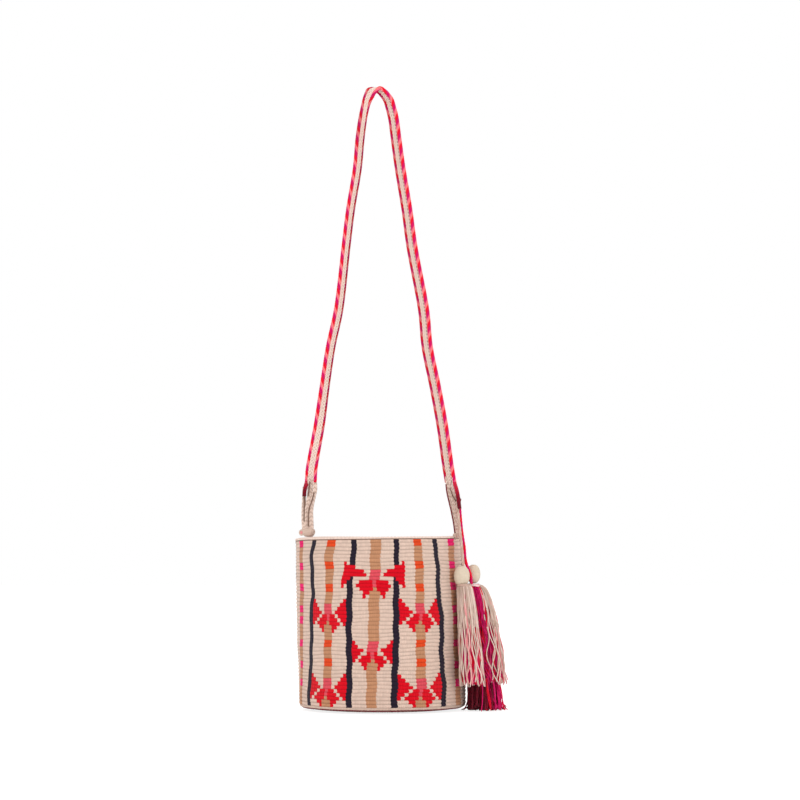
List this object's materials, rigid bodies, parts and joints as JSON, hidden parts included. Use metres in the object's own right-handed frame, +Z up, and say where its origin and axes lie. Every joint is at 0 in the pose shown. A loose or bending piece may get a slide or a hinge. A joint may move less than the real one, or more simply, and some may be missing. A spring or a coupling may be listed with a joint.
{
  "type": "wayuu mochila bag",
  "caption": "Small cylindrical crocheted bucket bag with striped columns and stepped red figures, a long woven shoulder strap and tassels on cords at one side.",
  "frame": {"origin": "centre of the bag's base, on the surface it stands on", "axes": "+Z up through the mouth, -Y towards the side shown in the picture, +X towards the tassels"},
  "size_m": [0.2442, 0.1966, 0.7241],
  "materials": {
    "bag_crochet": "matte cotton crochet in cream with coloured stitches",
    "strap_weave": "matte cotton band, cream with red and magenta edges",
    "cream_cotton": "matte cream cotton yarn",
    "red_cotton": "matte red cotton yarn",
    "pink_cotton": "matte pink cotton yarn",
    "magenta_cotton": "matte magenta cotton yarn"
  },
  "bodies": {
    "root": {"bag_body": "bag_crochet", "strap": "strap_weave", "left_tab": "cream_cotton", "right_tab": "cream_cotton", "left_end_cord_1": "cream_cotton", "left_end_cord_2": "cream_cotton", "left_end_cord_3": "cream_cotton", "right_end_cord_1": "cream_cotton", "right_end_cord_2": "cream_cotton", "right_end_cord_3": "cream_cotton", "tassel_knot": "red_cotton", "tassel_cord_front": "red_cotton", "tassel_cord_rear": "red_cotton", "tassel_ball_front": "cream_cotton", "tassel_ball_rear": "cream_cotton", "tassel_tie_front": "pink_cotton", "tassel_tie_rear": "pink_cotton", "tassel_skirt_front": "cream_cotton", "tassel_skirt_rear": "cream_cotton", "tassel_core_front": "magenta_cotton", "tassel_core_rear": "magenta_cotton"}
  },
  "joints": []
}
